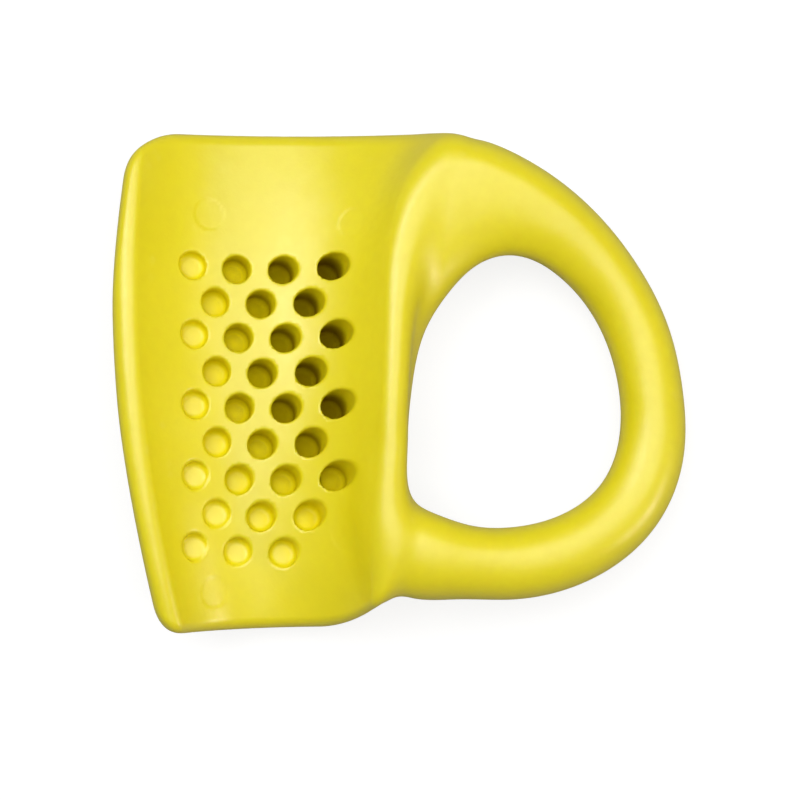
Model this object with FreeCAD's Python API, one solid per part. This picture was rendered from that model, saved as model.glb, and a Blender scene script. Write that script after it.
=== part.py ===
import FreeCAD, Part
import math
import os

# Lip grip: a one-piece soft rubber moulding. A thumb trough with rolled rims runs along Y and holds
# slanted blind grip holes. A D-shaped finger ring grows out of its right wall, towards +X.
# It lies as it rests on a table: Z = 0 is the table, the trough is open upwards and the ring's far
# side comes down to the table. The origin is the middle of its footprint. Millimetres.

# Thumb trough, measured across its two rim crests
TROUGH_TOP_Y = 30.0         # end with the wide ring root
TROUGH_LOW_Y = -30.0        # end with the narrow ring root
LEFT_CREST_X = -32.5        # left rim crest where it bows out most
LEFT_BOW_Y = 12.0           # where that is
LEFT_BOW = 0.003            # how fast the left rim draws in from there
RIGHT_CREST_X = -0.6        # right rim crest level with the origin
RIGHT_LEAN = 0.045          # it runs slightly outwards towards the wide ring root
FLARE_START_Y = 8.0         # beyond this it curves out into the ring as well
FLARE = 0.006               # how fast it curves out
RIM_RADIUS = 1.8            # rolled rim
TROUGH_DEPTH = 7.8          # rim crest above the floor
CROWN_Z = 8.5               # floor height above the table at its lengthwise crown
CROWN_Y = -4.0              # where the crown is
CROWN_RADIUS = 100.0        # lengthwise radius of the floor
END_ROUND = 1.1             # rounding of the trough's end edges
TOP_LEFT_CORNER = 8.4       # plan radii of its three free corners
LOW_LEFT_CORNER = 3.8
LOW_RIGHT_CORNER = 11.0

# Finger ring: a loop of oval section, sloping down to its far side
RING_Z = 9.5                # height of its middle plane above the origin
RING_SLOPE_X = -0.172       # rise per mm towards the far side
RING_SLOPE_Y = -0.027
RING_FAR_THICK = 8.0        # square to its middle plane, at the far side
RING_ROOT_THICK = 9.4       # the same at both roots
# Stations along its middle line, from the wide root round to the narrow root: x, y, half the
# width, and the heading in plan, degrees. The first and the last lie inside the trough's wall.
RING_STATIONS = [(1.2, 21.5, 8.8, -16), (8.2, 21.5, 7.7, -8), (13.6, 21.5, 6.2, -13),
                 (20.9, 17.2, 4.7, -44), (25.7, 11.2, 3.9, -57), (28.9, 5.3, 3.8, -69),
                 (30.3, -1.0, 3.8, -84), (30.2, -7.9, 4.0, -100), (27.3, -14.8, 4.2, -127),
                 (21.2, -19.5, 4.3, -155), (13.5, -21.5, 4.4, -176), (6.3, -21.1, 4.7, -188),
                 (-1.6, -19.6, 5.2, -190)]

# Grip holes: parallel flat-tipped pins, in staggered rows
HOLE_RADIUS = 1.8
HOLE_FILLET = 0.6           # rounding round the floor of each hole
HOLE_LEAN_X = 0.25          # travel towards +X per mm of height
HOLE_LEAN_Y = 0.25          # travel towards +Y per mm of height
HOLE_PITCH_X = 5.66
HOLE_PITCH_Y = 4.27
HOLE_CENTRE_X = -16.3       # middle of the pattern, at the height of the crown
HOLE_CENTRE_Y = -3.0
HOLE_ROWS = 9
LONG_ROW = 4                # holes in the odd rows, counted from the top end
SHORT_ROW = 3               # holes in the even rows and in the last row
HOLE_DEPTH = 3.7            # at the middle of the pattern
HOLE_DEPTH_RISE_X = 0.27    # extra depth per mm towards the ring
LOW_ROW_SHARE = 0.3         # share of that depth in the last row
ROW_SHARE_STEP = 0.17       # what each next row gains, until a hole has its full depth
LEAST_DEPTH = 1.0           # no hole is shallower
PIN_LENGTH = 20.0           # long enough to clear the rims
OVAL_POINTS = 12            # points that shape each oval of the ring


def drawn_in(distance, radius):
    """How far a round corner draws an edge in, at a distance from the trough's end."""
    return radius - math.sqrt(radius ** 2 - max(0.0, radius - distance) ** 2)


def left_crest(y):
    """X of the left rim crest, before its corners."""
    return LEFT_CREST_X + LEFT_BOW * (y - LEFT_BOW_Y) ** 2


def right_crest(y):
    """X of the right rim crest, before its corner. It flares out towards the wide ring root."""
    return RIGHT_CREST_X + RIGHT_LEAN * y + FLARE * max(0.0, y - FLARE_START_Y) ** 2


def floor_circle(y):
    """Centre (x, z) and radius of the floor arc, which runs tangent into both rolled rims."""
    middle = (left_crest(y) + right_crest(y)) / 2.0
    half = (right_crest(y) - left_crest(y)) / 2.0
    rise = TROUGH_DEPTH - RIM_RADIUS
    radius = (half ** 2 + rise ** 2 - RIM_RADIUS ** 2) / (2.0 * TROUGH_DEPTH)
    floor = CROWN_Z - (y - CROWN_Y) ** 2 / (2.0 * CROWN_RADIUS)
    return (middle, floor + radius), radius


def rim_centres(y):
    """Centres (x, z) of the left and right rolled rims. At the corners they follow the floor arc."""
    centre, radius = floor_circle(y)
    to_top, to_low = TROUGH_TOP_Y - y, y - TROUGH_LOW_Y
    left = left_crest(y) + drawn_in(to_top, TOP_LEFT_CORNER) + drawn_in(to_low, LOW_LEFT_CORNER)
    right = right_crest(y) - drawn_in(to_low, LOW_RIGHT_CORNER)
    reach = radius + RIM_RADIUS
    return [(x, centre[1] - math.sqrt(reach ** 2 - (x - centre[0]) ** 2)) for x in (left, right)]


def back_circle(left, right):
    """Centre (x, z) and radius of the back arc: tangent to the table and into both rims."""
    k = (left[1] - RIM_RADIUS) / (right[1] - RIM_RADIUS)
    a = 1.0 - k
    b = -2.0 * (left[0] - k * right[0])
    c = (left[0] ** 2 + left[1] ** 2 - RIM_RADIUS ** 2 -
         k * (right[0] ** 2 + right[1] ** 2 - RIM_RADIUS ** 2))
    x = -2.0 * c / (b + math.sqrt(b ** 2 - 4.0 * a * c))
    radius = (((left[0] - x) ** 2 + left[1] ** 2 - RIM_RADIUS ** 2) /
              (2.0 * (left[1] - RIM_RADIUS)))
    return (x, radius), radius


def arc(centre, radius, ways, y):
    """Arc round a centre in the plane Y = y, through three directions given as (x, z)."""
    points = []
    for dx, dz in ways:
        length = math.hypot(dx, dz)
        points.append(FreeCAD.Vector(centre[0] + radius * dx / length, y,
                                     centre[1] + radius * dz / length))
    return Part.Arc(*points).toShape()


def way(start, end):
    """Direction (x, z) from one point to another."""
    return end[0] - start[0], end[1] - start[1]


def trough_section(y):
    """Closed section of the trough: floor arc, rolled rim, back arc, rolled rim, all tangent."""
    floor_c, floor_r = floor_circle(y)
    left, right = rim_centres(y)
    back_c, back_r = back_circle(left, right)
    inset = drawn_in(min(TROUGH_TOP_Y - y, y - TROUGH_LOW_Y), END_ROUND)
    down = (0.0, -1.0)

    def rim(centre, side):
        return arc(centre, RIM_RADIUS - inset,
                   [way(centre, floor_c), (side, 1.0), way(back_c, centre)], y)

    floor = arc(floor_c, floor_r + inset, [way(floor_c, left), down, way(floor_c, right)], y)
    back = arc(back_c, back_r - inset, [way(back_c, right), down, way(back_c, left)], y)
    return Part.Wire(Part.__sortEdges__([floor, rim(right, 1.0), back, rim(left, -1.0)]))


def trough():
    """The trough: one loft of its sections, which close in on both ends to round them over."""
    from_end = [END_ROUND * (1.0 - math.sin(math.radians(a))) for a in (70, 45, 20)]
    from_low = from_end + [1.8, 3.8, 7.0, 11.0, 18.0]
    from_top = from_end + [2.5, 5.0, 8.4, 13.0, 18.0]
    stations = [TROUGH_LOW_Y + d for d in from_low] + [-4.0, 4.0]
    stations += [TROUGH_TOP_Y - d for d in reversed(from_top)]
    return Part.makeLoft([trough_section(y) for y in stations], True, False)


def ring_section(middle, along, half_width, half_thick):
    """Closed oval across the ring, square to the direction it runs in."""
    normal = FreeCAD.Vector(-RING_SLOPE_X, -RING_SLOPE_Y, 1.0).normalize()
    across = along.cross(normal).normalize()
    points = []
    for i in range(OVAL_POINTS):
        a = 2.0 * math.pi * i / OVAL_POINTS
        points.append(middle + across * (half_width * math.cos(a)) +
                      normal * (half_thick * math.sin(a)))
    curve = Part.BSplineCurve()
    curve.interpolate(Points=points, PeriodicFlag=True)
    return Part.Wire(curve.toShape())


def ring():
    """The finger ring: one loft of ovals round its D-shaped middle line."""
    far = max(station[0] for station in RING_STATIONS)
    sections = []
    for x, y, half_width, heading in RING_STATIONS:
        middle = FreeCAD.Vector(x, y, RING_Z + RING_SLOPE_X * x + RING_SLOPE_Y * y)
        dx, dy = math.cos(math.radians(heading)), math.sin(math.radians(heading))
        along = FreeCAD.Vector(dx, dy, RING_SLOPE_X * dx + RING_SLOPE_Y * dy)
        thick = RING_ROOT_THICK + (RING_FAR_THICK - RING_ROOT_THICK) * max(0.0, x / far)
        sections.append(ring_section(middle, along, half_width, thick / 2.0))
    return Part.makeLoft(sections, True, False)


def surface_height(x, y):
    """Height of the trough's open surface, between its rims."""
    centre, radius = floor_circle(y)
    return centre[1] - math.sqrt(radius ** 2 - (x - centre[0]) ** 2)


def grip_hole(column, row):
    """One pin, from its flat tip to above the rims. Column and row count from the middle."""
    axis = FreeCAD.Vector(HOLE_LEAN_X, HOLE_LEAN_Y, 1.0)
    start = FreeCAD.Vector(HOLE_CENTRE_X + column * HOLE_PITCH_X,
                           HOLE_CENTRE_Y + row * HOLE_PITCH_Y, CROWN_Z)
    mouth = start
    for i in range(6):
        mouth = start + axis * (surface_height(mouth.x, mouth.y) - CROWN_Z)
    share = min(1.0, LOW_ROW_SHARE + ROW_SHARE_STEP * (row + (HOLE_ROWS - 1) / 2.0))
    depth = share * (HOLE_DEPTH + HOLE_DEPTH_RISE_X * (start.x - HOLE_CENTRE_X))
    depth = max(LEAST_DEPTH, depth)
    unit = FreeCAD.Vector(axis).normalize()
    tip = mouth - unit * depth
    pin = Part.makeCylinder(HOLE_RADIUS, PIN_LENGTH, tip, unit)
    tip_edge = [edge for edge in pin.Edges if edge.CenterOfMass.distanceToPoint(tip) < 0.001]
    return pin.makeFillet(HOLE_FILLET, tip_edge)


def grip_holes():
    """All pins: long rows and short rows take turns, and the last row lacks its right hole."""
    pins = []
    for i in range(HOLE_ROWS):
        row = (HOLE_ROWS - 1) / 2.0 - i
        long_row = i % 2 == 0
        first = -(LONG_ROW - 1) / 2.0 if long_row else -(SHORT_ROW - 1) / 2.0
        count = LONG_ROW if long_row and i < HOLE_ROWS - 1 else SHORT_ROW
        pins += [grip_hole(first + k, row) for k in range(count)]
    return pins


def grip_moulding():
    """The whole moulding: trough and ring in one piece, with the grip holes taken out."""
    return trough().fuse(ring()).cut(Part.makeCompound(grip_holes()))


os.makedirs("parts", exist_ok=True)
grip_moulding().exportStep("parts/grip_moulding.step")
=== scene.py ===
import bpy
import math
import numpy as np
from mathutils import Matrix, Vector


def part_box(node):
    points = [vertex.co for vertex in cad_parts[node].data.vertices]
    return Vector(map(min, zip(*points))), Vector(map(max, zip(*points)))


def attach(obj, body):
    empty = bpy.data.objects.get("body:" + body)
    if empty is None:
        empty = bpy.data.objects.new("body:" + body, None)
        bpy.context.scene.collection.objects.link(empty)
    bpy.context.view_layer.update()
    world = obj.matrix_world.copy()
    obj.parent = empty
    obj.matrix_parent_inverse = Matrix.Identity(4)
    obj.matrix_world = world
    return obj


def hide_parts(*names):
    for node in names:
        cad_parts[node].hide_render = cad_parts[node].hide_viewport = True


# Lip grip, one soft yellow moulding. Its skin is the zero level of one distance field, in
# millimetres: trough, finger ring, and slanted blind holes taken out. The field is sampled on a
# grid, meshed, and every vertex is then moved onto the exact skin.

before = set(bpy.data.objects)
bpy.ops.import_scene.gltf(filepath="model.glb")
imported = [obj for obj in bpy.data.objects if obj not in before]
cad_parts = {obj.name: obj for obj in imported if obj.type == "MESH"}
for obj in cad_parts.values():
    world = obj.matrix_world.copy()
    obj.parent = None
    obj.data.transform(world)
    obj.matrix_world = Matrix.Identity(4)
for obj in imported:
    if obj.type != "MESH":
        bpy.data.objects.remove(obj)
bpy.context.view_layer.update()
MM = 0.001
NODE = "grip_moulding"
low_corner, high_corner = [np.array(c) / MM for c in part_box(NODE)]

# ---- Dimensions, millimetres -------------------------------------------------------------------
# Thumb trough: floor arc between two rolled rims, crowned lengthwise, back arc on the table
END_REACH, LEFT_INSET = 0.2, 2.1    # from the CAD's box to the end lines, and to the left crest
TOP_Y = high_corner[1] + END_REACH  # end with the wide ring root
LOW_Y = low_corner[1] - END_REACH   # end with the narrow ring root
LOW_RISE = 0.03                     # slant of the low end: it rises towards the ring
LEFT_CREST_X = low_corner[0] + LEFT_INSET   # left rim crest where it bows out most
LEFT_BOW_Y, LEFT_BOW = 13.0, 0.0029
RIGHT_CREST_X, RIGHT_LEAN = -0.6, 0.045
FLARE_START_Y, FLARE = 8.0, 0.006   # the right rim curves out towards the wide ring root
SWEEP_START_Y, SWEEP = 21.0, 0.045  # and sweeps into the ring at the very end
RIM_R = 1.8
DEPTH = 7.8
CROWN_Z, CROWN_Y, CROWN_R = 8.5, -4.0, 100.0
END_ROUND = 1.4

# Corners of the trough's outline: the straight side that an end rounds into, as a point on it
# and the way it faces, and the radius of that rounding
TOP_LEFT_SIDE, TOP_LEFT_CORNER = ((-33.1, 24.2), (-0.99, 0.14)), 5.7
LOW_LEFT_SIDE, LOW_LEFT_CORNER = ((-29.9, -26.0), (-0.98, -0.2)), 3.6
TOP_RIGHT_SIDE, TOP_RIGHT_CORNER = ((8.6, 0.0), (1.0, 0.0)), 6.0
LOW_RIGHT_SIDE, LOW_RIGHT_CORNER = ((1.7, -18.6), (0.993, -0.11916)), 10.0

# Finger ring, in polar form round the middle of its opening: degrees, then the radii of the
# opening's edge, of the ring's crest and of its outer edge, then the height of its middle and
# half its thickness. Between 135 and 225 degrees it runs inside the trough's right wall and is
# thinner, so that it doesn't show below the wall.
RING_MIDDLE = (13.5, -1.0)
RING = np.array([
    (0.0, 13.25, 17.1, 21.0, 4.3, 4.0), (22.5, 13.05, 17.2, 20.8, 4.3, 4.0),
    (45.0, 13.75, 18.4, 21.8, 4.7, 4.1), (67.5, 15.15, 20.9, 24.5, 5.9, 4.2),
    (90.0, 16.4, 25.0, 28.95, 7.7, 4.4), (105.0, 15.7, 27.4, 31.0, 8.7, 4.6),
    (120.0, 14.2, 23.8, 26.5, 8.9, 4.6), (135.0, 13.1, 19.3, 21.5, 9.0, 4.0),
    (157.5, 12.2, 15.5, 17.5, 9.7, 2.8), (180.0, 12.4, 14.8, 16.5, 10.4, 2.3),
    (202.5, 14.4, 16.0, 17.8, 10.4, 2.8), (225.0, 17.5, 20.8, 25.0, 10.4, 4.4),
    (240.0, 17.1, 21.4, 27.7, 10.3, 4.7), (255.0, 16.7, 20.7, 25.8, 9.2, 4.6),
    (270.0, 16.3, 20.1, 25.0, 8.1, 4.4), (292.5, 16.05, 19.9, 24.65, 6.8, 4.3),
    (315.0, 15.65, 19.6, 24.1, 5.5, 4.1), (337.5, 14.35, 18.5, 22.65, 4.6, 4.0)])
RING_ANGLES = 720                   # evenly spaced angles at which the ring's curves are tabled
TURN_STEP = 0.01                    # radians to either side when the crest's turn is measured
ROOT_BLEND = 3.5

# Grip holes: parallel pins with rounded flat tips, in staggered rows, leaning towards +X and +Y
HOLE_R, HOLE_LIP = 1.68, 0.28
LEAN = np.array([0.25, 0.25, 1.0])
PITCH_X, PITCH_Y = 5.66, 4.27
PATTERN = np.array([-16.3, -3.0, CROWN_Z])   # middle of the pattern, level with the floor's crown
ROWS, LONG_ROW, SHORT_ROW = 9, 4, 3
TIP_ROUND = 0.7
# Depth at the middle of the pattern and what it gains per mm towards the ring, then the share of
# it at the lowest row and what the share gains per row above that
HOLE_DEPTH, DEPTH_RISE_X = 3.7, 0.27
LOW_ROW_SHARE, SHARE_STEP = 0.3, 0.17
LEAST_DEPTH = 1.0
MOUTH_ROUNDS = 6                    # steps in which the middle of a hole's mouth is found

# Faint round ejector marks in the trough: x, y, radius
EJECTORS = [(-22.8, 20.4, 1.9), (-5.5, 19.3, 1.9), (-6.2, -17.9, 2.3), (-22.1, -25.1, 1.9)]
EJECTOR_DEPTH, EJECTOR_EDGE = 0.05, 0.5

# Meshing
GRID = 0.352                        # spacing of the sampling grid
MARGIN = 2.0                        # how far the grid reaches past the CAD box
FAR = 9.0                           # more than any distance that matters next to a hole
SLOPE_STEP = 0.02                   # distance to either side when the field's slope is measured
LEAST_SLOPE = 0.05                  # smallest squared slope that a point is moved by
TINY = 1e-6                         # keeps a division away from zero
SETTLE_ROUNDS, RELAX_ROUNDS = 2, 5

# ---- Looks -------------------------------------------------------------------------------------
# Rubber: linear colours, then its patterns as features per metre and levels of finer detail
YELLOW, RICH_YELLOW = (0.785, 0.675, 0.003, 1.0), (0.83, 0.72, 0.005, 1.0)
SPECK_YELLOW = (0.76, 0.635, 0.003, 1.0)
WORN_YELLOW = (0.88, 0.77, 0.10, 1.0)
# Painted shade: the brown that recesses turn to, standing in for the shade deep in the holes
PAINTED_SHADE_BROWN = (0.17, 0.085, 0.0, 1.0)
BLOTCHES, SPECKS, WAVES, GRAIN = (70.0, 3.0), (900.0, 2.0), (190.0, 1.0), (2600.0, 2.0)
NOISE_RANGE = (0.3, 0.7)            # the part of a pattern's range that is stretched to 0 to 1
SPECK_SHARE, WORN_SHARE = 0.35, 0.15   # how much of their colours the specks and scuffs take on
ROUGHNESS = (0.33, 0.41)            # over the blotches
SPECK_ROUGHNESS = (-0.02, 0.03)     # added at the specks
WORN_ROUGHNESS = (0.0, 0.12)        # added at the scuffs
# Unevenness of the surface: strength, and height in metres
WAVE_BUMP, GRAIN_BUMP = (0.5, 0.00025), (0.35, 0.00003)
# A place's openness, from 0 to 1, is measured with a few rays of this reach in metres. As it
# falls, painted shade sets in: a recess first loses its sheen and then turns brown
RECESS_REACH, RECESS_RAYS = 0.008, 8
PAINTED_SHADE_RANGE, SHADED_SHEEN_RANGE, SHEEN = (0.03, 0.27), (0.3, 0.7), 0.95
CREST_RANGE = (0.52, 0.60)          # how pointed a crest is where scuffs begin and are complete
# Light that soaks into the rubber: its share, its depth in metres, and the reach of each colour
SOAK_SHARE, SOAK_DEPTH, SOAK_REACH = 0.1, 0.001, (1.0, 0.5, 0.1)

# Floor, just under the grip: half its side and its height in metres, its roughness, its own glow
# to the camera, and its colour to the camera and to everything else
FLOOR_HALF, FLOOR_Z = 2.0, -0.0002
FLOOR_ROUGHNESS, FLOOR_GLOW = 0.8, 0.8
FLOOR_SEEN, FLOOR_UNSEEN = (0.25, 0.25, 0.25, 1.0), (0.3, 0.3, 0.3, 1.0)
WHITE = (1.0, 1.0, 1.0, 1.0)
BACKDROP_FILL = 0.15                # light of the backdrop on everything but the camera

# Square lamps, aimed at the origin: name, place and side in metres, power in watts, colour
LAMPS = [("top", (0.1, 0.2, 0.9), 1.1, 8.2, (1.0, 1.0, 1.0)),
         ("key", (-0.38, 0.32, 0.72), 0.5, 2.5, (1.0, 1.0, 1.0)),
         ("window", (0.85, -0.35, 0.33), 0.08, 1.7, (1.0, 0.85, 0.78))]

# Camera, straight above the grip: place and nearest sight in metres, lens and sensor in mm
CAMERA_PLACE, CAMERA_NEAREST = (0.0002, -0.0020, 0.459), 0.01
LENS, SENSOR = 168.75, 36.0


# ---- The distance field ------------------------------------------------------------------------
def periodic_spline(degrees, values):
    """Values of a smooth periodic curve through the stations, at evenly spaced angles."""
    count = len(degrees)
    gaps = np.diff(np.append(degrees, degrees[0] + 360.0))
    matrix = np.zeros((count, count))
    target = np.zeros(count)
    for i in range(count):
        following = (i + 1) % count
        before, after = gaps[i - 1], gaps[i]
        matrix[i, i - 1] += before
        matrix[i, i] += 2.0 * (before + after)
        matrix[i, following] += after
        target[i] = 6.0 * ((values[following] - values[i]) / after -
                           (values[i] - values[i - 1]) / before)
    bend = np.linalg.solve(matrix, target)
    at = np.arange(RING_ANGLES) * 360.0 / RING_ANGLES
    i = np.searchsorted(degrees, at, side="right") - 1
    following, gap = (i + 1) % count, gaps[i]
    b = (at - degrees[i]) / gap
    a = 1.0 - b
    return (a * values[i] + b * values[following] +
            ((a ** 3 - a) * bend[i] + (b ** 3 - b) * bend[following]) * gap ** 2 / 6.0)


RING_TABLE = [periodic_spline(RING[:, 0], column) for column in RING.T[1:]]


def around(table, angle):
    """Looks an angle in radians up in a table of evenly spaced values."""
    at = (angle / (2.0 * math.pi)) % 1.0 * len(table)
    i = np.floor(at).astype(int)
    t = at - i
    return table[i % len(table)] * (1.0 - t) + table[(i + 1) % len(table)] * t


def round_and(a, b, radius):
    """What lies in both shapes, with the edge between them rounded."""
    corner = np.hypot(np.maximum(a + radius, 0.0), np.maximum(b + radius, 0.0))
    return np.minimum(-radius, np.maximum(a, b)) + corner


def blend_or(a, b, reach):
    """What lies in either shape, with the crease filled by up to a quarter of the reach."""
    h = np.maximum(reach - np.abs(a - b), 0.0) / reach
    return np.minimum(a, b) - h * h * reach * 0.25


def trough_floor(y):
    """Middle X, half width across the crests, floor Z and floor arc radius at each Y."""
    left = LEFT_CREST_X + LEFT_BOW * (y - LEFT_BOW_Y) ** 2
    right = (RIGHT_CREST_X + RIGHT_LEAN * y + FLARE * np.maximum(0.0, y - FLARE_START_Y) ** 2 +
             SWEEP * np.maximum(0.0, y - SWEEP_START_Y) ** 2)
    half = (right - left) / 2.0
    rise = DEPTH - RIM_R
    radius = (half ** 2 + rise ** 2 - RIM_R ** 2) / (2.0 * DEPTH)
    bottom = CROWN_Z - (y - CROWN_Y) ** 2 / (2.0 * CROWN_R)
    return (left + right) / 2.0, half, bottom, radius


def gutter(x, y, z):
    """Distance to the trough's section: outside the floor arc, inside the back arc, rims rolled."""
    middle, half, bottom, floor_r = trough_floor(y)
    aside = np.abs(x - middle)
    rim_z = bottom + DEPTH - RIM_R
    back_r = (half ** 2 + rim_z ** 2 - RIM_R ** 2) / (2.0 * (rim_z - RIM_R))
    wall = np.maximum(np.hypot(aside, z - back_r) - back_r,
                      floor_r - np.hypot(aside, z - bottom - floor_r))
    rim_x, rim_up = aside - half, z - rim_z
    over_back = half * rim_up - (rim_z - back_r) * rim_x
    over_floor = rim_x * (bottom + floor_r - rim_z) + rim_up * half
    rim = np.hypot(rim_x, rim_up) - RIM_R
    return np.where((over_back > 0.0) & (over_floor > 0.0), rim, wall)


def past(side, x, y):
    """Distance past a straight side, in the direction it faces."""
    point, facing = side
    return (x - point[0]) * facing[0] + (y - point[1]) * facing[1]


def plan(x, y):
    """Distance to the trough's outline from above: straight ends and four rounded corners."""
    top, low = y - TOP_Y, LOW_Y + LOW_RISE * (x - LEFT_CREST_X) - y
    corners = [round_and(top, past(TOP_LEFT_SIDE, x, y), TOP_LEFT_CORNER),
               round_and(low, past(LOW_LEFT_SIDE, x, y), LOW_LEFT_CORNER),
               round_and(top, past(TOP_RIGHT_SIDE, x, y), TOP_RIGHT_CORNER),
               round_and(low, past(LOW_RIGHT_SIDE, x, y), LOW_RIGHT_CORNER)]
    return np.maximum.reduce(corners)


def ring(x, y, z):
    """Distance to the finger ring: oval sections, each with its own crest."""
    dx, dy = x - RING_MIDDLE[0], y - RING_MIDDLE[1]
    angle, radius = np.arctan2(dy, dx), np.hypot(dx, dy)
    inner, crest, outer, height, half = [around(t, angle) for t in RING_TABLE]
    before, after = [around(RING_TABLE[1], angle + side) for side in (-TURN_STEP, TURN_STEP)]
    turn = (after - before) / (2.0 * TURN_STEP)
    square = 1.0 / np.hypot(1.0, turn / crest)
    off = radius - crest
    width = np.where(off > 0.0, outer - crest, crest - inner) * square
    off = off * square
    up = z - height
    reach = np.sqrt((off / width) ** 2 + (up / half) ** 2)
    slope = np.sqrt((off / width ** 2) ** 2 + (up / half ** 2) ** 2)
    return (reach - 1.0) * reach / np.maximum(slope, TINY)


def open_surface(x, y):
    """Height of the trough's open surface at a point between its rims."""
    middle, _, bottom, radius = trough_floor(y)
    return bottom + radius - math.sqrt(radius ** 2 - (x - middle) ** 2)


def marks(x, y, z):
    """How far the skin is sunk at the ejector marks: flat discs with soft edges."""
    sunk = 0.0
    for mark_x, mark_y, radius in EJECTORS:
        away = np.sqrt((x - mark_x) ** 2 + (y - mark_y) ** 2 +
                       (z - open_surface(mark_x, mark_y)) ** 2)
        t = np.clip((radius - away) / EJECTOR_EDGE + 0.5, 0.0, 1.0)
        sunk = sunk + EJECTOR_DEPTH * t * t * (3.0 - 2.0 * t)
    return sunk


def body(x, y, z):
    """Distance to the moulding before its holes are taken out."""
    trough = round_and(gutter(x, y, z), plan(x, y), END_ROUND) + marks(x, y, z)
    return blend_or(trough, ring(x, y, z), ROOT_BLEND)


def on_floor(start):
    """Where a line along the lean meets the trough's open surface, found step by step."""
    point = start
    for _ in range(MOUTH_ROUNDS):
        point = start + LEAN * (open_surface(point[0], point[1]) - start[2])
    return point


def pin_tips():
    """Middle of each pin's tip, its depth measured from where its axis meets the floor."""
    tips = []
    for row in range(ROWS):
        places = LONG_ROW if row % 2 == 0 else SHORT_ROW
        count = places if row < ROWS - 1 else SHORT_ROW   # the last row lacks its last hole
        share = min(1.0, LOW_ROW_SHARE + SHARE_STEP * (ROWS - 1 - row))
        for column in range(count):
            off_x = (column - (places - 1) / 2.0) * PITCH_X
            off_y = ((ROWS - 1) / 2.0 - row) * PITCH_Y
            mouth = on_floor(PATTERN + np.array([off_x, off_y, 0.0]))
            depth = max(LEAST_DEPTH, share * (HOLE_DEPTH + DEPTH_RISE_X * off_x))
            tips.append(mouth - HOLE_AXIS * depth)
    return tips


HOLE_AXIS = LEAN / np.linalg.norm(LEAN)
TIPS = pin_tips()


def holes(x, y, z):
    """Distance to the nearest pin: a round bar with a rounded flat tip."""
    best = np.full(np.broadcast(x, y, z).shape, FAR)
    for tip in TIPS:
        px, py, pz = x - tip[0], y - tip[1], z - tip[2]
        along = px * HOLE_AXIS[0] + py * HOLE_AXIS[1] + pz * HOLE_AXIS[2]
        away = np.sqrt(np.maximum(px * px + py * py + pz * pz - along * along, 0.0))
        np.minimum(best, round_and(away - HOLE_R, -along, TIP_ROUND), out=best)
    return best


def skin(x, y, z):
    """The whole moulding's distance field: negative inside the rubber."""
    return round_and(body(x, y, z), -holes(x, y, z), HOLE_LIP)


# ---- From field to mesh ------------------------------------------------------------------------
def sample():
    """The grid's lowest corner and the field at each of its points."""
    start = low_corner - MARGIN
    counts = np.ceil((high_corner + MARGIN - start) / GRID).astype(int) + 1
    xs, ys, zs = [start[k] + GRID * np.arange(counts[k]) for k in range(3)]
    values = np.empty(tuple(counts), np.float32)
    for i, x in enumerate(xs):
        values[i] = skin(x, ys[:, None], zs[None, :])
    return start, values


def cells_on_skin(values):
    """For each cell that the skin passes through: its index, and its vertex within it."""
    inside = values < 0.0
    corners = [(i, j, k) for i in (0, 1) for j in (0, 1) for k in (0, 1)]

    def at_corner(grid, corner):
        return grid[tuple(slice(o, size - 1 + o) for o, size in zip(corner, grid.shape))]

    count = sum(at_corner(inside, c).astype(np.int8) for c in corners)
    cell = np.argwhere((count > 0) & (count < len(corners)))
    at = {c: values[tuple((cell + c).T)] for c in corners}
    total, crossings = np.zeros((len(cell), 3)), np.zeros(len(cell))
    for start in corners:
        for axis in range(3):
            if start[axis]:
                continue
            end = tuple(1 if n == axis else o for n, o in enumerate(start))
            crosses = (at[start] < 0.0) != (at[end] < 0.0)
            t = np.where(crosses, at[start] / np.where(crosses, at[start] - at[end], 1.0), 0.0)
            point = np.array(start, float) + t[:, None] * np.eye(3)[axis]
            total += np.where(crosses[:, None], point, 0.0)
            crossings += crosses
    return cell, total / crossings[:, None]


def quads(values, cell):
    """One four-sided face round every grid edge that the skin crosses, facing outwards."""
    number = np.full(values.shape, -1, np.int32)
    number[tuple(cell.T)] = np.arange(len(cell))
    inside = values < 0.0
    step = np.eye(3, dtype=int)
    faces = []
    for axis in range(3):
        side, up = [step[n] for n in range(3) if n != axis]
        first = tuple(slice(0, -1) if n == axis else slice(1, -1) for n in range(3))
        second = tuple(slice(1, None) if n == axis else slice(1, -1) for n in range(3))
        a, b = inside[first], inside[second]
        where = np.argwhere(a != b) + side + up
        around_edge = [where - side - up, where - up, where, where - side]
        quad = np.stack([number[tuple(w.T)] for w in around_edge], axis=1)
        outwards = a[a != b]
        turned = outwards if axis == 1 else ~outwards
        quad[turned] = quad[turned][:, ::-1]
        faces.append(quad)
    return np.concatenate(faces)


def gradient(points):
    """Slope of the field at each point."""
    out = np.empty_like(points)
    for k in range(3):
        d = np.zeros(3)
        d[k] = SLOPE_STEP
        out[:, k] = (skin(*(points + d).T) - skin(*(points - d).T)) / (2.0 * SLOPE_STEP)
    return out


def settle(points, rounds):
    """Moves points along the slope onto the zero level."""
    for _ in range(rounds):
        slope = gradient(points)
        move = skin(*points.T) / np.maximum((slope ** 2).sum(1), LEAST_SLOPE)
        points = points - slope * np.clip(move, -GRID, GRID)[:, None]
    return points


def sides(faces):
    """The four sides of every face, as pairs of vertices."""
    return np.concatenate([faces[:, [k, (k + 1) % 4]] for k in range(4)])


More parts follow.
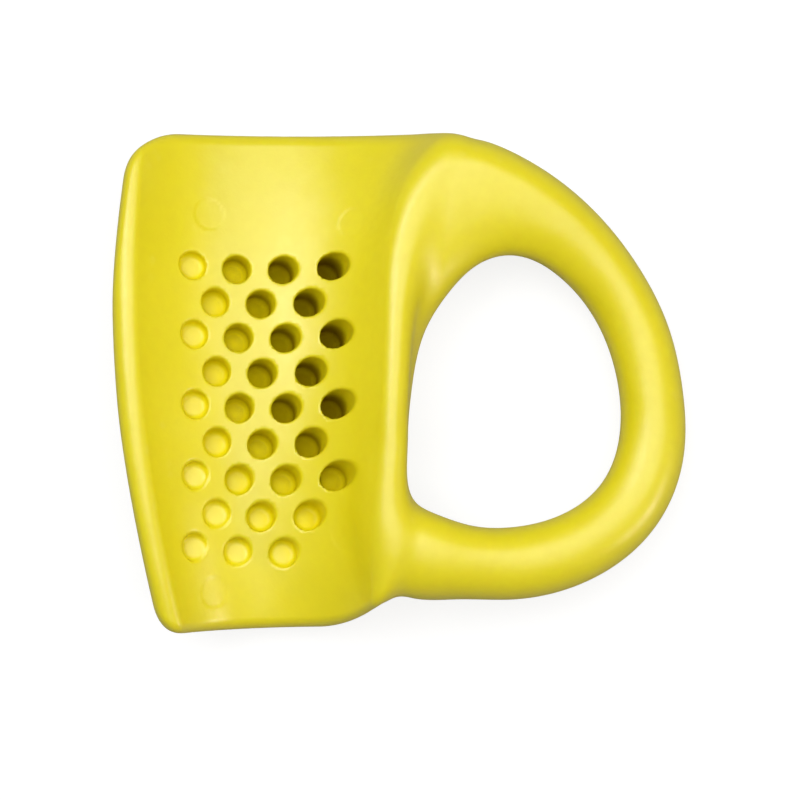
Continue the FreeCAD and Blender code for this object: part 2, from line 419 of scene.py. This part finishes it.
def relax(points, faces, rounds):
    """Evens the mesh out: each vertex goes half way to its neighbours' mean, then onto the skin."""
    pairs = sides(faces)
    pairs = np.concatenate([pairs, pairs[:, ::-1]])
    count = np.bincount(pairs[:, 0], minlength=len(points))
    for _ in range(rounds):
        mean = np.stack([np.bincount(pairs[:, 0], points[pairs[:, 1], k], len(points))
                         for k in range(3)], axis=1) / count[:, None]
        points = settle(points + 0.5 * (mean - points), 1)
    return points


def weld(points, faces):
    """Closes the few edges that more than two faces share, and drops the points left over."""
    edges, count = np.unique(np.sort(sides(faces), axis=1), axis=0, return_counts=True)
    for keep, drop in edges[count > 2]:
        faces[faces == drop] = keep
    used = np.unique(faces)
    faces = np.searchsorted(used, faces).tolist()
    return points[used], [list(dict.fromkeys(face)) for face in faces]


def moulding():
    """The grip as one closed smooth mesh."""
    start, values = sample()
    cell, offset = cells_on_skin(values)
    faces = quads(values, cell)
    points = settle(start + GRID * (cell + offset), SETTLE_ROUNDS)
    points, faces = weld(relax(points, faces, RELAX_ROUNDS), faces)
    points = settle(points, SETTLE_ROUNDS)
    normals = gradient(points)
    normals /= np.linalg.norm(normals, axis=1)[:, None]
    mesh = bpy.data.meshes.new("grip_skin")
    mesh.from_pydata((points * MM).tolist(), [], faces)
    mesh.validate()
    mesh.shade_smooth()
    mesh.normals_split_custom_set_from_vertices(normals.tolist())
    piece = bpy.data.objects.new("grip_skin", mesh)
    bpy.context.scene.collection.objects.link(piece)
    return piece


# ---- Materials ---------------------------------------------------------------------------------
def new_material(name):
    """A node material, its tree, and the shader of its surface."""
    material = bpy.data.materials.new(name)
    material.use_nodes = True
    return material, material.node_tree, material.node_tree.nodes["Principled BSDF"]


def noise(tree, place, pattern):
    """Noise over the object's own coordinates."""
    texture = tree.nodes.new("ShaderNodeTexNoise")
    scale, detail = pattern
    texture.inputs["Scale"].default_value = scale
    texture.inputs["Detail"].default_value = detail
    tree.links.new(place, texture.inputs["Vector"])
    return texture.outputs["Fac"]


def spread(tree, value, results, limits=(0.0, 1.0)):
    """A value stretched from its limits to the results, and held level past them."""
    node = tree.nodes.new("ShaderNodeMapRange")
    for name, number in zip(("From Min", "From Max", "To Min", "To Max"), limits + results):
        node.inputs[name].default_value = number
    tree.links.new(value, node.inputs["Value"])
    return node.outputs["Result"]


def combine(tree, how, a, b):
    """Two values added or multiplied."""
    node = tree.nodes.new("ShaderNodeMath")
    node.operation = how
    tree.links.new(a, node.inputs[0])
    tree.links.new(b, node.inputs[1])
    return node.outputs[0]


def mix(tree, share, a, b):
    """Colour a turning into colour b; each is a tuple or another node's output."""
    node = tree.nodes.new("ShaderNodeMix")
    node.data_type = "RGBA"
    tree.links.new(share, node.inputs["Factor"])
    for name, colour in (("A", a), ("B", b)):
        if isinstance(colour, tuple):
            node.inputs[name].default_value = colour
        else:
            tree.links.new(colour, node.inputs[name])
    return node.outputs["Result"]


def uneven(tree, pattern, size):
    """A bump node for one pattern of unevenness."""
    bump = tree.nodes.new("ShaderNodeBump")
    strength, height = size
    bump.inputs["Strength"].default_value = strength
    bump.inputs["Distance"].default_value = height
    tree.links.new(pattern, bump.inputs["Height"])
    return bump


def rubber():
    """Satin yellow rubber: mottled colour, painted shade (browner, less sheen) in recesses, scuffed
    on crests.
    """
    material, tree, shader = new_material("yellow_rubber")
    place = tree.nodes.new("ShaderNodeTexCoord").outputs["Object"]
    blotches = spread(tree, noise(tree, place, BLOTCHES), (0.0, 1.0), NOISE_RANGE)
    specks = spread(tree, noise(tree, place, SPECKS), (0.0, 1.0), NOISE_RANGE)

    # Openness from short rays: the mask of the painted shade in recesses
    shelter = tree.nodes.new("ShaderNodeAmbientOcclusion")
    shelter.samples = RECESS_RAYS
    shelter.only_local = True
    shelter.inputs["Distance"].default_value = RECESS_REACH
    openness = shelter.outputs["AO"]
    pointed = tree.nodes.new("ShaderNodeNewGeometry").outputs["Pointiness"]
    scuffs = combine(tree, "MULTIPLY", spread(tree, pointed, (0.0, 1.0), CREST_RANGE), specks)

    colour = mix(tree, blotches, YELLOW, RICH_YELLOW)
    colour = mix(tree, spread(tree, specks, (0.0, SPECK_SHARE)), colour, SPECK_YELLOW)
    colour = mix(tree, spread(tree, scuffs, (0.0, WORN_SHARE)), colour, WORN_YELLOW)
    # Painted shade: recesses turn brown as their openness falls
    colour = mix(tree, spread(tree, openness, (1.0, 0.0), PAINTED_SHADE_RANGE), colour, PAINTED_SHADE_BROWN)
    tree.links.new(colour, shader.inputs["Base Color"])

    rough = spread(tree, blotches, ROUGHNESS)
    rough = combine(tree, "ADD", rough, spread(tree, specks, SPECK_ROUGHNESS))
    rough = combine(tree, "ADD", rough, spread(tree, scuffs, WORN_ROUGHNESS))
    tree.links.new(rough, shader.inputs["Roughness"])
    # Painted shade: the sheen fades out in recesses
    sheen = spread(tree, openness, (0.0, SHEEN), SHADED_SHEEN_RANGE)
    tree.links.new(sheen, shader.inputs["Specular IOR Level"])

    wavy = uneven(tree, noise(tree, place, WAVES), WAVE_BUMP)
    grainy = uneven(tree, noise(tree, place, GRAIN), GRAIN_BUMP)
    tree.links.new(wavy.outputs["Normal"], grainy.inputs["Normal"])
    tree.links.new(grainy.outputs["Normal"], shader.inputs["Normal"])
    shader.inputs["Subsurface Weight"].default_value = SOAK_SHARE
    shader.inputs["Subsurface Scale"].default_value = SOAK_DEPTH
    shader.inputs["Subsurface Radius"].default_value = SOAK_REACH
    return material


def pale_floor():
    """White to the camera with a faint shadow; it throws little light back up."""
    material, tree, shader = new_material("pale_floor")
    seen = tree.nodes.new("ShaderNodeLightPath").outputs["Is Camera Ray"]
    tree.links.new(mix(tree, seen, FLOOR_UNSEEN, FLOOR_SEEN), shader.inputs["Base Color"])
    tree.links.new(spread(tree, seen, (0.0, FLOOR_GLOW)), shader.inputs["Emission Strength"])
    shader.inputs["Emission Color"].default_value = WHITE
    shader.inputs["Roughness"].default_value = FLOOR_ROUGHNESS
    return material


# ---- Stage -------------------------------------------------------------------------------------
def floor():
    """A large square that the grip lies on."""
    signs = ((-1, -1), (1, -1), (1, 1), (-1, 1))
    corners = [(x * FLOOR_HALF, y * FLOOR_HALF, FLOOR_Z) for x, y in signs]
    mesh = bpy.data.meshes.new("floor")
    mesh.from_pydata(corners, [], [(0, 1, 2, 3)])
    piece = bpy.data.objects.new("floor", mesh)
    bpy.context.scene.collection.objects.link(piece)
    piece.data.materials.append(pale_floor())


def lamp(name, place, size, power, colour):
    """A square area lamp that shines at the origin."""
    light = bpy.data.lights.new(name, "AREA")
    light.shape = "SQUARE"
    light.size = size
    light.energy = power
    light.color = colour
    holder = bpy.data.objects.new(name, light)
    holder.location = place
    holder.rotation_euler = (-Vector(place)).to_track_quat("-Z", "Y").to_euler()
    bpy.context.scene.collection.objects.link(holder)


def backdrop():
    """White to the camera, and a weak even fill on everything else."""
    world = bpy.data.worlds.new("backdrop")
    world.use_nodes = True
    tree = world.node_tree
    background = tree.nodes["Background"]
    seen = tree.nodes.new("ShaderNodeLightPath").outputs["Is Camera Ray"]
    tree.links.new(spread(tree, seen, (BACKDROP_FILL, 1.0)), background.inputs["Strength"])
    background.inputs["Color"].default_value = WHITE
    bpy.context.scene.world = world


def camera():
    """The camera, looking straight down."""
    view = bpy.data.cameras.new("camera")
    view.sensor_width = SENSOR
    view.lens = LENS
    view.clip_start = CAMERA_NEAREST
    holder = bpy.data.objects.new("camera", view)
    holder.location = CAMERA_PLACE
    bpy.context.scene.collection.objects.link(holder)
    bpy.context.scene.camera = holder


grip = moulding()
grip.data.materials.append(rubber())
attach(grip, "root")
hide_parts(NODE)

floor()
for settings in LAMPS:
    lamp(*settings)
backdrop()
bpy.context.scene.view_settings.view_transform = "Standard"
camera()
